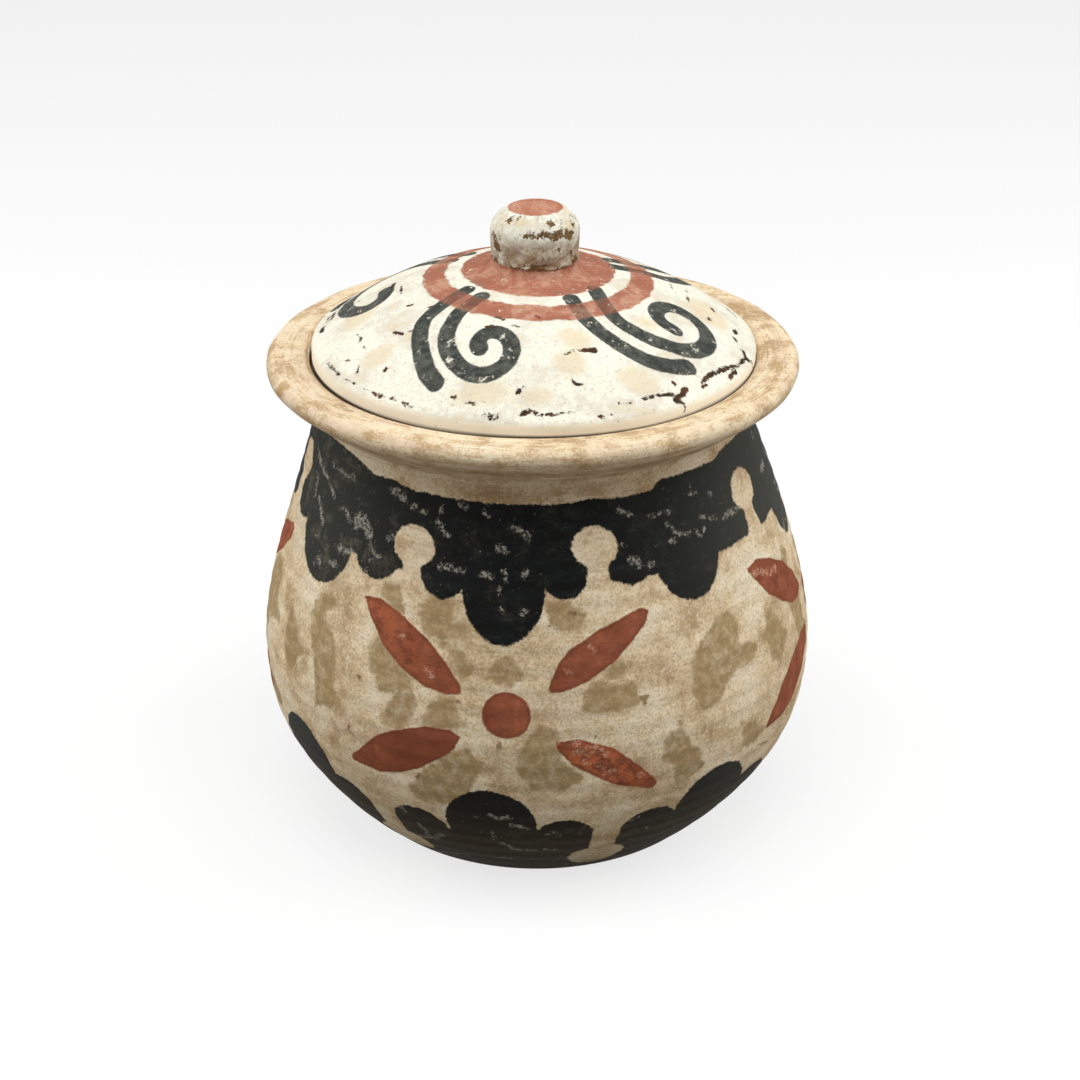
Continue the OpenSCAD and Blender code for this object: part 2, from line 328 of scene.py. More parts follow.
# Knob: the terracotta cap, the height up to which its plaster is darker greyish tan,
# millimetres for each degree round it, and its chips: half-width, and points along
# each as azimuth and height above the foot
CAP_R = 9.4
KNOB_DARK_Z = KNOB_FOOT_Z + 9.5
KNOB_DEGREE = 0.27
KNOB_CHIPS = [
    (0.7, [(-10, 12.5), (-1, 12.0)]), (0.8, [(1, 11.9), (12, 12.6), (24, 11.7)]),
    (1.3, [(25, 11.4), (35, 12.5)]), (1.3, [(45, 11.7), (52, 11.2)]), (0.8, [(-45, 15.8), (-43, 15.8)]),
    (0.3, [(-31, 17), (-30, 16.6)]), (0.7, [(63, 13.7), (65, 13.4)]), (0.5, [(20, 15.2), (27, 15.4)]),
    (0.7, [(-68, 10), (-62, 9.2)]), (1.3, [(-63, 7.2), (-55, 6)]), (0.6, [(-12, 1.7), (-4, 1.4)]),
    (0.7, [(5, 1.5), (13, 1.3)]), (0.6, [(31, 6.5), (33, 6)]), (0.4, [(52, 5), (54, 4.5)]),
    (1, [(105, 9), (118, 10.5)]), (1.3, [(168, 8), (182, 7)]), (0.8, [(228, 13), (240, 12.2)]),
]

# Colours as they look in plain light, 0 to 255
CREAM = (232, 211, 174)
CREAM_DIM = (214, 190, 153)
CREAM_PALE = (242, 228, 200)
CREAM_STAIN = (182, 153, 115)
RIM_STREAK = (184, 150, 110)
RIM_PINK = (230, 208, 184)
RIM_PALE = (233, 214, 180)
TAN = (165, 139, 98)
# Umber is also the colour of the painted shade on the jar
UMBER = (120, 88, 56)
BLACK = (15, 15, 14)
BLACK_BLUE = (24, 26, 27)
BLACK_WORN = (56, 57, 53)
BLACK_RUB = (172, 168, 154)
# Painted sheen on the black at the sides of the pot
BLACK_SHEEN = (66, 67, 61)
BLACK_EARTH = (54, 44, 30)
BLACK_HAZE = (98, 94, 80)
BRICK = (148, 88, 66)
BRICK_DEEP = (124, 67, 46)
BRICK_SCUFF = (188, 106, 70)
BRICK_RUB = (222, 176, 148)
CHALK = (241, 239, 223)
CHALK_GREY = (222, 217, 202)
CHALK_TAN = (222, 204, 168)
LID_BRICK = (160, 86, 62)
LID_BRICK_DULL = (146, 104, 84)
LID_BRICK_MID = (168, 106, 80)
LID_BRICK_PALE = (190, 140, 114)
LID_BLACK = (54, 57, 53)
LID_BLACK_WORN = (96, 98, 90)
# Painted shade in the gap between the lid and the rim
GAP_SHADE = (54, 38, 24)
KNOB_GREY_TAN = (158, 138, 114)
CHIP_EARTH = (120, 92, 58)
CHIP = (58, 44, 32)
CHIP_BROWN = (90, 58, 42)
SPECK = (150, 138, 112)
# The lid's unpainted side band, made paler than its clay as painted light
LID_SIDE_LIT = (252, 243, 222)
CLAY = (184, 128, 92)
CLAY_DARK = (150, 98, 68)
FLOOR = (140, 137, 131)
FLOOR_SEEN = (250, 250, 250)
WHITE = (255, 255, 255)

# Depth of the bump on every material, as a share of its height in millimetres
BUMP = 0.9

# Lamps: power in watts, side in metres, place and the point each faces
LAMPS = [
    ("lamp_top", 24.5, 1.6, (0.0, -0.5, 1.65), (0.0, 0.0, 0.1)),
    ("lamp_left", 7.0, 0.9, (-1.15, 0.15, 0.6), (0.0, 0.0, 0.1)),
    ("lamp_right", 7.8, 0.9, (1.15, 0.1, 0.7), (0.0, 0.0, 0.1)),
]
AMBIENT = 0.22
FLOOR_SIDE = 6.0
FLOOR_GLOW = 0.75


# ------------------------------------------------------------- small geometry
def smooth(x, low, high):
    """Rises smoothly from 0 at low to 1 at high."""
    t = np.clip((x - low) / (high - low), 0, 1)
    return t * t * (3 - 2 * t)


def hump(x, middle, width):
    """1 at the middle, falling away to nothing on both sides."""
    return np.exp(-(((x - middle) / width) ** 2))


def rounded_line(points, spacing):
    """A smooth line through points, resampled about spacing apart."""
    points = np.asarray(points, float)
    run = np.hypot(*np.diff(points, axis=0).T)
    along = np.concatenate([[0], np.cumsum(run)])
    count = max(1, int(math.ceil(along[-1] / spacing)))
    at = np.linspace(0, along[-1], count + 1)
    slope = np.gradient(points, along, axis=0) if len(points) > 2 else None
    if slope is None:
        t = (at / along[-1])[:, None]
        return points[0] * (1 - t) + points[1] * t
    k = np.clip(np.searchsorted(along, at, side="right") - 1, 0, len(run) - 1)
    h = run[k][:, None]
    t = ((at - along[k]) / run[k])[:, None]
    p0, p1 = points[k], points[k + 1]
    m0, m1 = slope[k] * h, slope[k + 1] * h
    return (
        (2 * t**3 - 3 * t**2 + 1) * p0
        + (t**3 - 2 * t**2 + t) * m0
        + (3 * t**2 - 2 * t**3) * p1
        + (t**3 - t**2) * m1
    )


def ring_graph(node):
    """The rings of a revolved CAD node as (radius, height), and which rings its edges join."""
    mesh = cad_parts[node].data
    co = np.empty(len(mesh.vertices) * 3)
    mesh.vertices.foreach_get("co", co)
    co = co.reshape(-1, 3) / MM
    flat = np.c_[np.hypot(co[:, 0], co[:, 1]), co[:, 2]]
    keys, owner = np.unique(np.round(flat / RING_GRID), axis=0, return_inverse=True)
    rings = []
    label = np.empty(len(keys), int)
    for i, point in enumerate(keys * RING_GRID):
        near = [k for k, ring in enumerate(rings) if abs(point - ring).max() < RING_MERGE]
        if not near:
            near = [len(rings)]
            rings.append(point)
        label[i] = near[0]
    ends = np.empty(len(mesh.edges) * 2, int)
    mesh.edges.foreach_get("vertices", ends)
    ends = label[owner.ravel()[ends]].reshape(-1, 2)
    joined = {k: set() for k in range(len(rings))}
    for a, b in np.unique(ends, axis=0):
        if a != b:
            joined[a].add(b)
            joined[b].add(a)
    return np.array(rings), joined


def traced_outline(node):
    """The outline of a revolved CAD node, in order, from its flat foot round to the axis."""
    rings, joined = ring_graph(node)
    tips = [k for k in joined if len(joined[k]) == 1]
    here = max(tips, key=lambda k: rings[k][0])
    order = [here]
    while True:
        ahead = [k for k in joined[here] if k not in order]
        if not ahead:
            break
        here = min(ahead, key=lambda k: np.hypot(*(rings[k] - rings[order[-1]])))
        order.append(here)
    line = np.vstack([[0, rings[order[0]][1]], rings[order]])
    r, z = line.T
    outward = np.sum(r[:-1] * z[1:] - r[1:] * z[:-1]) > 0
    return line if outward else line[::-1]


def split_at_corners(line):
    """The stretches of an outline between its sharp corners, and between its flats and curves."""
    run = np.diff(line, axis=0)
    length = np.hypot(*run.T)
    heading = np.arctan2(run[:, 1], run[:, 0])
    turn = np.abs((np.diff(heading) + math.pi) % (2 * math.pi) - math.pi)
    jump = np.maximum(length[1:] / length[:-1], length[:-1] / length[1:])
    inner = np.where((turn > CORNER_TURN) | (jump > UNEVEN))[0] + 1
    cuts = [0, *inner, len(line) - 1]
    return [line[a : b + 1] for a, b in zip(cuts, cuts[1:])]


def resampled_outline(node, spacing_of):
    """Rows for a dense copy of a revolved node. spacing_of gives the row spacing of a stretch."""
    rows = []
    spacing = []
    for stretch in split_at_corners(traced_outline(node)):
        step = spacing_of(stretch)
        part = rounded_line(stretch, step)
        skip = 1 if rows else 0
        rows.extend(part[skip:])
        spacing.extend([step] * (len(part) - skip))
    return np.array(rows), np.array(spacing)


def row_normals(rows):
    """Outward direction of each row, in the plane of the outline."""
    run = np.gradient(rows, axis=0)
    out = np.c_[run[:, 1], -run[:, 0]]
    return out / np.maximum(np.hypot(*out.T), 1e-9)[:, None]


class Surface:
    """A dense surface of revolution: a grid of points with azimuth, radius and height."""

    def __init__(self, node, columns, spacing_of, fine):
        self.rows, spacing = resampled_outline(node, spacing_of)
        self.columns = columns
        body = self.rows[1:-1]
        back = (1 - FRONT_SHARE) / 2
        stops = [-180, -FRONT_HALF, FRONT_HALF, 180]
        place = np.linspace(0, 1, columns, endpoint=False)
        azimuth = np.interp(place, [0, back, 1 - back, 1], stops)
        count = len(body)
        self.azimuth = np.tile(azimuth, count)
        self.radius, self.height = np.repeat(body, columns, axis=0).T
        normals = row_normals(self.rows)[1:-1]
        self.normal_r, self.normal_z = np.repeat(normals, columns, axis=0).T
        self.level = np.repeat(np.arange(count), columns)
        self.push, self.drift, self.lift = np.zeros((3, len(self.azimuth)))
        self.fields = {}
        self.bake_v = self.bake_rows(spacing, fine)

    def bake_rows(self, spacing, fine):
        """Place of each row up the bake map; the finely modelled side gets most of it."""
        run = np.hypot(*np.diff(self.rows, axis=0).T)
        weight = np.where(spacing[1:] > fine, UV_COARSE_SHARE, 1.0)
        along = np.concatenate([[0], np.cumsum(run * weight)])
        return along / along[-1]

    @property
    def turn(self):
        return np.radians(self.azimuth)

    @property
    def x(self):
        return self.radius * np.sin(self.turn)

    @property
    def y(self):
        return -self.radius * np.cos(self.turn)

    def grain(self, size, seed):
        """Soft noise about 0, with lumps about size across."""
        shift = Vector((seed * 17.3, seed * 5.1, seed * 11.7))
        points = zip(self.x / size, self.y / size, self.height / size)
        return np.array([noise.noise(Vector(p) + shift) for p in points])

    def build(self, name):
        """The mesh object, in metres, with its fields as vertex attributes."""
        radius = self.radius + self.normal_r * self.push
        height = self.height + self.normal_z * self.push + self.lift
        x = radius * np.sin(self.turn) + self.drift
        y = -radius * np.cos(self.turn)
        drift = (self.drift[0], self.drift[-1])
        first = [(drift[0], 0, self.rows[0][1])]
        last = [(drift[1], 0, self.rows[-1][1])]
        points = np.vstack([np.c_[x, y, height], first, last]) * MM
        faces, corners = self.faces()
        mesh = bpy.data.meshes.new(name)
        mesh.from_pydata(points.tolist(), [], faces)
        bake = mesh.uv_layers.new(name="OFBake")
        bake.data.foreach_set("uv", np.array(corners, np.float32).ravel())
        for field, values in self.fields.items():
            held = mesh.attributes.new(field, "FLOAT", "POINT")
            held.data.foreach_set("value", np.append(values, values[[0, -1]]).astype(np.float32))
        mesh.shade_smooth()
        mesh.set_sharp_from_angle(angle=SHARP)
        mesh.update()
        piece = bpy.data.objects.new(name, mesh)
        bpy.context.scene.collection.objects.link(piece)
        return piece

    def faces(self):
        """Faces of the grid and of the two fans at the axis, and the bake place of each corner."""
        n = self.columns
        levels = len(self.rows) - 2
        foot = levels * n
        top = foot + 1
        faces = []
        corners = []
        for i in range(levels - 1):
            low, high = self.bake_v[i + 1], self.bake_v[i + 2]
            for j in range(n):
                k = (j + 1) % n
                left, right = j / n, (j + 1) / n
                faces.append((i * n + j, i * n + k, (i + 1) * n + k, (i + 1) * n + j))
                corners += [(left, low), (right, low), (right, high), (left, high)]
        for j in range(n):
            k = (j + 1) % n
            left, right = j / n, (j + 1) / n
            middle = (left + right) / 2
            faces.append((foot, k, j))
            corners += [(middle, self.bake_v[0]), (right, self.bake_v[1]), (left, self.bake_v[1])]
            faces.append((top, foot - n + j, foot - n + k))
            corners += [(middle, self.bake_v[-1]), (left, self.bake_v[-2]), (right, self.bake_v[-2])]
        return faces, corners


# ------------------------------------------------- painted shapes, as distances
# Each gives how far a point lies inside a shape, in mm, and is negative outside.
def ellipse(u, v, half_u, half_v):
    return (1 - np.hypot(u / half_u, v / half_v)) * min(half_u, half_v)


def tilted(u, v, degrees):
    """The same point measured along and across a direction."""
    c, s = math.cos(math.radians(degrees)), math.sin(math.radians(degrees))
    return u * c + v * s, v * c - u * s


def blob(u, v, corners):
    """A closed shape with the given corners."""
    near = np.full(len(u), 1e9)
    inside = np.zeros(len(u), bool)
    for a, b in zip(corners, corners[1:] + corners[:1]):
        run = np.subtract(b, a)
        du, dv = u - a[0], v - a[1]
        t = np.clip((du * run[0] + dv * run[1]) / (run @ run), 0, 1)
        near = np.minimum(near, np.hypot(du - t * run[0], dv - t * run[1]))
        if run[1]:
            inside ^= ((a[1] > v) != (b[1] > v)) & (du < dv * run[0] / run[1])
    return np.where(inside, near, -near)


def stroke(u, v, line, half):
    """A brush stroke of even width along a line."""
    line = rounded_line(line, 1.0)
    near = np.full(len(u), 1e9)
    for a, b in zip(line, line[1:]):
        run = b - a
        t = np.clip(((u - a[0]) * run[0] + (v - a[1]) * run[1]) / (run @ run), 0, 1)
        near = np.minimum(near, np.hypot(u - a[0] - t * run[0], v - a[1] - t * run[1]))
    return half - near


def strokes(u, v, lines):
    """Strokes given as half-widths and the points along each."""
    return union([stroke(u, v, line, half) for half, line in lines])


def round_pot(azimuth, centre):
    """Distance round the belly from a centre, in chart millimetres."""
    return ((azimuth - centre + 180) % 360 - 180) * CHART_DEGREE


def union(parts):
    return np.maximum.reduce(parts)


def upper_band(azimuth, z):
    """The black band below the neck, with its pendants and lobes, less its keyholes."""
    parts = [z - STRIP_LOW]
    for drops, tall in ((PENDANTS, PENDANT_TALL), (LOBES, LOBE_TALL)):
        for at, tip, half in drops:
            parts.append(ellipse(round_pot(azimuth, at), z - tip - tall, half, tall))
    holes = []
    for at, middle in KEYHOLES:
        across = round_pot(azimuth, at)
        fallen = np.maximum(middle - z, 0)
        flare = KEYHOLE_STEM + 0.011 * fallen**2
        holes.append(ellipse(across, z - middle, *KEYHOLE_HALF))
        holes.append(np.minimum(flare - np.abs(across), middle - z))
    brim = np.interp(azimuth, *zip(*BRIM))
    return np.minimum(np.minimum(union(parts), brim - z), -union(holes))


def lower_band(azimuth, z):
    """The black band that rises from the foot, less its cream wells."""
    parts = [SKIRT_TOP - z]
    for at, tip in PEAKS:
        parts.append(ellipse(round_pot(azimuth, at), z - tip + PEAK_HALF[1], *PEAK_HALF))
    holes = []
    for at, middle in WELLS:
        for side in (-1, 1):
            across = round_pot(azimuth, at + side * BUD_OFFSET)
            parts.append(ellipse(across, z - BUD_TOP + BUD_HALF[1], *BUD_HALF))
        across = round_pot(azimuth, at)
        holes.append(ellipse(across, z - middle, *WELL_HALF))
        holes.append(np.minimum(WELL_STEM - np.abs(across), z - middle))
    return np.minimum(union(parts), -union(holes))


def flowers(azimuth, z):
    """Each flower: a round eye and four petals set crosswise."""
    parts = []
    for at, middle in FLOWERS:
        across, up = round_pot(azimuth, at), z - middle
        parts.append(ellipse(across, up, EYE_R, EYE_R))
        parts += [blob(across, up, petal) for petal in PETALS]
    return union(parts)


def wall_dabs(azimuth, z):
    """Ragged dabs of tan over the cream, laid again at each turn."""
    return union([
        blob(round_pot(azimuth, turn), z - rise, corners)
        for turn, rise in DAB_TURNS
        for corners in DABS
    ])


def wall_rubs(azimuth, z, rng):
    """Rubbed streaks in the paint: placed in front, scattered round the back."""
    front = round_pot(azimuth, 0)
    parts = [strokes(front, z, RUBS)]
    for _ in range(HIDDEN_RUBS):
        at = HIDDEN_FROM + rng.random() * (360 - 2 * HIDDEN_FROM)
        middle = rng.choice([rng.uniform(112, 150), rng.uniform(10, 50)])
        u, v = tilted(round_pot(azimuth, at), z - middle, rng.uniform(-70, 70))
        parts.append(ellipse(u, v, rng.uniform(1, 5), rng.uniform(0.4, 1.2)))
    return union(parts)


def lid_scrolls(x, y):
    """Five pairs of strokes, each a curl and its outer guard, set round the lid."""
    pairs = [(CURL_RIGHT, GUARD_RIGHT, 0), (CURL_LEFT, GUARD_LEFT, 0)]
    pairs += [(CURL, GUARD, turn) for turn in SCROLL_TURNS]
    parts = []
    for curl, guard, turn in pairs:
        u, v = tilted(x, y, turn)
        parts.append(strokes(u, v, [(SCROLL_HALF, curl), (SCROLL_HALF, guard)]))
    return union(parts)


def lid_rings(x, y):
    """Terracotta disc round the knob and a ring outside it."""
    away = np.hypot(x - DISC_CENTRE[0], y - DISC_CENTRE[1])
    ring = np.minimum(away - RING_IN, RING_OUT - away)
    return np.maximum(DISC_R - away, ring)


def lid_chips(x, y, rng):
    """Chips through the white: placed in front, scattered over the rest."""
    parts = [strokes(x, y, CHIPS)]
    for _ in range(HIDDEN_CHIPS):
        at = math.radians(-10 + 200 * rng.random())
        away = rng.choice([rng.uniform(42, 70), rng.uniform(71, 74.5)])
        long, wide = rng.uniform(0.6, 3.2), rng.uniform(0.3, 0.8)
        u, v = tilted(x - away * math.cos(at), y - away * math.sin(at), math.degrees(at) + 90)
        parts.append(ellipse(u, v, long, wide))
    return union(parts)


# --------------------------------------------------------------------- shaders
class Nodes:
    """Adds nodes to a tree. Each method gives back an output."""

    def __init__(self, tree):
        self.tree = tree

    def feed(self, socket, value):
        if isinstance(value, bpy.types.NodeSocket):
            self.tree.links.new(value, socket)
        else:
            socket.default_value = colour(value) if socket.type == "RGBA" else value

    def node(self, kind, feeds=(), out=0, **settings):
        """A node with its settings made and its inputs fed."""
        node = self.tree.nodes.new("ShaderNode" + kind)
        for name, value in settings.items():
            setattr(node, name, value)
        for socket, value in dict(feeds).items():
            self.feed(node.inputs[socket], value)
        return node.outputs[out]

    def math(self, operation, *values):
        return self.node("Math", enumerate(values), operation=operation)

    def add(self, a, b):
        return self.math("ADD", a, b)

    def times(self, a, b):
        return self.math("MULTIPLY", a, b)

    def flipped(self, value):
        return self.math("SUBTRACT", 1.0, value)

    def mix(self, share, a, b):
        return self.node("Mix", {"Factor": share, 6: a, 7: b}, 2, data_type="RGBA")

    def seen(self):
        """1 for rays that show a background to the camera, straight or in a reflection."""
        rays = self.node("LightPath").node.outputs
        straight = self.math("MAXIMUM", rays["Is Camera Ray"], rays["Is Glossy Ray"])
        return self.math("MAXIMUM", straight, rays["Is Transmission Ray"])


class Paint(Nodes):
    """One material, patterned in millimetres."""

    def __init__(self, name):
        self.material = bpy.data.materials.new(name)
        self.material.use_nodes = True
        super().__init__(self.material.node_tree)
        self.shader = self.tree.nodes["Principled BSDF"].inputs
        place = self.node("TexCoord", out="Object")
        self.place = self.node("VectorMath", {0: place, 1: (1 / MM,) * 3}, operation="MULTIPLY")

    def moved(self, by):
        return self.node("VectorMath", {0: self.place, 1: by}, operation="ADD")

    def field(self, name):
        return self.node("Attribute", out="Fac", attribute_name=name)

    def noise(self, scale, detail, rough, at=None):
        feeds = {"Scale": scale, "Detail": detail, "Roughness": rough}
        return self.node("TexNoise", {"Vector": at or self.place, **feeds})

    def streaks(self, around, along, detail, rough, out=0.0):
        """Noise that runs round the axis: turns count by around, height by along, radius by out."""
        x, y, z = self.node("SeparateXYZ", {0: self.place}).node.outputs
        away = self.math("SQRT", self.add(self.times(x, x), self.times(y, y)))
        away = self.math("MAXIMUM", away, 0.5)
        across = self.times(self.math("DIVIDE", x, away), around)
        deep = self.times(self.math("DIVIDE", y, away), around)
        up = self.add(self.times(z, along), self.times(away, out))
        spun = self.node("CombineXYZ", {0: across, 1: deep, 2: up})
        return self.noise(1.0, detail, rough, spun)

    def step(self, value, low, high):
        """0 below low and 1 above high, smooth between; low may be the greater."""
        feeds = {"Value": value, "From Min": low, "From Max": high}
        return self.node("MapRange", feeds, "Result", interpolation_type="SMOOTHSTEP")

    def stain(self, base, tint, value, low, high, share):
        """Base with a share of a tint laid on where a value goes from low to high."""
        return self.mix(self.times(self.step(value, low, high), share), base, tint)

    def ramp(self, value, *stops):
        """A run of colours: each stop is a level and the colour from there on."""
        output = self.node("ValToRGB", {0: value})
        elements = output.node.color_ramp.elements
        while len(elements) < len(stops):
            elements.new(0.5)
        for element, (level, rgb) in zip(elements, stops):
            element.position = level
            element.color = colour(rgb)
        return output

    def edged(self, name, fuzz, blur=0.35):
        """Inside of a painted field, its edge shaken by fuzz (a noise centred on 0)."""
        return self.step(self.add(self.field(name), fuzz), -blur, blur)

    def shaken(self, scale, reach, detail=4.0, rough=0.6, at=None):
        """Noise centred on 0 that swings by about reach each way."""
        spread = self.noise(scale, detail, rough, at)
        return self.times(self.math("SUBTRACT", spread, 0.5), reach * 2)

    def finish(self, base, rough, height, specular):
        feeds = {"Strength": BUMP, "Distance": MM, "Height": height}
        self.feed(self.shader["Base Color"], base)
        self.feed(self.shader["Roughness"], rough)
        self.feed(self.shader["Specular IOR Level"], specular)
        self.feed(self.shader["Normal"], self.node("Bump", feeds))
        return self.material


def colour(rgb):
    """A 0 to 255 display colour as the linear RGBA that a shader takes."""
    scaled = [c / 255 for c in rgb]
    linear = [c / 12.92 if c <= 0.04045 else ((c + 0.055) / 1.055) ** 2.4 for c in scaled]
    return (*linear, 1.0)


def cream_ground(p):
    """Bare slip: cream, sponged and stained, with a sandy grain and a few dark specks."""
    sponge = p.noise(0.05, 9, 0.74)
    stops = ((0.38, CREAM_STAIN), (0.46, CREAM_DIM), (0.52, CREAM), (0.59, CREAM_PALE))
    base = p.ramp(sponge, *stops)
    broad = p.noise(0.02, 3, 0.55)
    base = p.stain(base, CREAM_STAIN, broad, 0.5, 0.72, 0.3)
    streak = p.streaks(5, 0.35, 6, 0.72)
    base = p.stain(base, CREAM_STAIN, streak, 0.54, 0.68, 0.3)
    sand = p.noise(1.15, 2, 0.6, p.moved((9, 23, 5)))
    base = p.stain(base, CREAM_STAIN, sand, 0.5, 0.36, 0.5)
    base = p.stain(base, CREAM_PALE, sand, 0.53, 0.66, 0.5)
    grain = p.noise(0.8, 4, 0.75)
    base = p.stain(base, CREAM_STAIN, grain, 0.42, 0.3, 0.5)
    plaster = p.noise(0.16, 8, 0.78, p.moved((4, 15, 40)))
    base = p.stain(base, CREAM_PALE, plaster, 0.55, 0.62, 0.55)
    specks = p.noise(0.8, 4, 0.66, p.moved((31, 7, 3)))
    return p.stain(base, UMBER, specks, 0.66, 0.7, 0.65), grain


def bare_clay(p, base):
    """Unpainted clay over the places that were never slipped."""
    clay = p.mix(p.noise(0.35, 4, 0.7), CLAY_DARK, CLAY)
    return p.mix(p.field("bare"), base, clay)


def jar_material():
    """The jar: slip with tan dabs, dark marks and painted shade, terracotta and black paint, and bare
    clay.
    """
    p = Paint("painted_earthenware")
    base, grain = cream_ground(p)
    ragged = p.add(p.shaken(0.12, 3.5, 2), p.shaken(0.4, 3.4, 7, 0.78))
    inner = p.noise(0.3, 8, 0.78)
    dab = p.edged("dab", ragged, 0.9)
    dab = p.times(dab, p.math("MULTIPLY_ADD", p.step(inner, 0.62, 0.42), 0.4, 0.58))
    base = p.mix(dab, base, TAN)
    mark = p.edged("mark", p.shaken(0.8, 0.8, 3), 0.3)
    base = p.mix(p.times(mark, 0.75), base, UMBER)
    base = rim_wear(p, base)
    # Painted shade in umber: under the rim, in the neck's crease, round the lid and towards the foot
    base = p.mix(p.times(p.field("painted_shade"), 0.8), base, UMBER)
    base, brick = brick_paint(p, base)
    base, black = black_paint(p, base)
    base = bare_clay(p, base)
    rough = p.math("MULTIPLY_ADD", black, -0.1, 0.88)
    paint = p.add(p.times(brick, 0.1), p.times(black, 0.13))
    height = p.add(paint, p.times(grain, 0.22))
    height = p.add(height, p.times(p.streaks(9, 0.9, 3, 0.6), 0.15))
    height = p.add(height, p.times(p.noise(2.2, 2, 0.5), 0.07))
    return p.finish(base, rough, height, 0.08)


def rim_wear(p, base):
    """Brown strata and pale rubbed patches that run round the rim and the collar."""
    rim = p.field("rim")
    streak = p.streaks(3, 0.45, 7, 0.72, 0.45)
    base = p.stain(base, RIM_STREAK, streak, 0.5, 0.62, p.times(rim, 0.8))
    strata = p.streaks(2.5, 1.2, 5, 0.66, 1.2)
    base = p.stain(base, RIM_STREAK, strata, 0.52, 0.64, p.times(rim, 0.4))
    blotch = p.noise(0.1, 8, 0.76)
    base = p.stain(base, RIM_STREAK, blotch, 0.48, 0.38, p.times(rim, 0.5))
    base = p.stain(base, RIM_PALE, blotch, 0.51, 0.58, p.times(rim, 0.6))
    patch = p.streaks(8, 0.35, 7, 0.72, 0.35)
    limit = p.math("MULTIPLY_ADD", p.field("wear"), -0.07, 0.55)
    pale = p.step(patch, limit, p.add(limit, 0.08))
    base = p.mix(p.times(rim, p.times(pale, 0.7)), base, RIM_PINK)
    thin = p.streaks(12, 0.9, 5, 0.66, 0.9)
    return p.stain(base, UMBER, thin, 0.62, 0.7, p.times(rim, 0.75))


def brick_paint(p, base):
    """Terracotta petals and eyes: a darker outline, brushed on thin and scuffed."""
    edge = p.add(p.shaken(0.1, 0.6), p.shaken(0.7, 0.5))
    brick = p.edged("flower", edge)
    tone = p.noise(0.1, 7, 0.72)
    paint = p.ramp(tone, (0.36, BRICK_DEEP), (0.56, BRICK), (0.72, BRICK_SCUFF))
    scuff = p.streaks(20, 0.3, 7, 0.74)
    wear = p.field("wear")
    paint = p.stain(paint, BRICK_SCUFF, scuff, 0.44, 0.56, wear)
    paint = p.mix(p.times(p.field("deep"), 0.55), paint, BRICK_DEEP)
    rim = p.step(p.add(p.field("flower"), edge), 1.6, 0.5)
    paint = p.mix(p.times(rim, 0.45), paint, BRICK_DEEP)
    worn = p.math("MAXIMUM", p.step(scuff, 0.68, 0.72), rubbed(p))
    paint = p.mix(p.times(worn, 0.7), paint, BRICK_RUB)
    return p.mix(brick, base, paint), brick


def rubbed(p):
    """Ragged, broken rubbing along the placed streaks."""
    ragged = p.add(p.shaken(0.45, 2, 6, 0.74), p.shaken(1.7, 1.2, 3))
    thin = p.step(p.noise(0.8, 7, 0.8), 0.45, 0.55)
    return p.times(p.edged("rub", ragged, 0.4), thin)


def black_paint(p, base):
    """Black bands: brushed, lighter towards the left and right as a painted sheen, with smudges and
    flecks where rubbing lets the slip through.
    """
    edge = p.add(p.shaken(0.1, 0.7), p.shaken(0.6, 1.3, 5, 0.7))
    black = p.edged("band", edge)
    brush = p.streaks(7, 0.3, 6, 0.7)
    paint = p.ramp(brush, (0.4, BLACK), (0.6, BLACK_BLUE), (0.72, BLACK_WORN))
    # Painted sheen: the black lighter towards the left and right
    paint = p.mix(p.times(p.field("pale"), 0.85), paint, BLACK_SHEEN)
    paint = p.mix(p.times(p.field("earth"), 0.75), paint, BLACK_EARTH)
    wear = p.field("wear")
    cluster = p.step(p.noise(0.045, 2, 0.5), 0.4, 0.64)
    worn = p.add(cluster, wear)
    haze = p.noise(0.11, 8, 0.78, p.moved((12, 3, 21)))
    paint = p.stain(paint, BLACK_HAZE, haze, 0.52, 0.62, p.times(wear, 0.6))
    limit = p.math("MULTIPLY_ADD", worn, -0.03, 0.66)
    smudge = p.streaks(15, 0.26, 9, 0.76)
    smear = p.times(p.step(smudge, limit, p.add(limit, 0.06)), 0.7)
    limit = p.math("MULTIPLY_ADD", worn, -0.03, 0.7)
    dots = p.step(p.noise(0.9, 4, 0.66), limit, p.add(limit, 0.05))
    rub = p.math("MAXIMUM", smear, p.times(dots, 0.65))
    rub = p.math("MAXIMUM", rub, p.times(rubbed(p), 0.85))
    paint = p.mix(rub, paint, BLACK_RUB)
    return p.mix(black, base, paint), black


def lid_material():
    """The lid: chalky white under black scrolls and terracotta rings, chipped and blotched, with
    painted shade low on its side where it meets the rim.
    """
    p = Paint("chalk_white_lid")
    base, grain = chalk_ground(p)
    scrape = p.noise(0.22, 8, 0.76)
    base, black = scroll_paint(p, base, scrape)
    base = ring_paint(p, base, black, scrape)
    # The unpainted side band, its colour made paler to stand in for light falling on it
    base = p.mix(p.field("side"), base, LID_SIDE_LIT)
    chip = chipped(p)
    base = p.mix(chip, base, chip_colour(p))
    # Painted shade low on the lid's side, where it meets the rim
    base = p.mix(p.times(p.field("painted_shade"), 0.95), base, GAP_SHADE)
    base = bare_clay(p, base)
    height = p.add(p.times(grain, 0.16), p.times(chip, -0.25))
    height = p.add(height, p.times(p.streaks(9, 0.2, 3, 0.6, 0.5), 0.15))
    return p.finish(base, 0.85, height, 0.12)


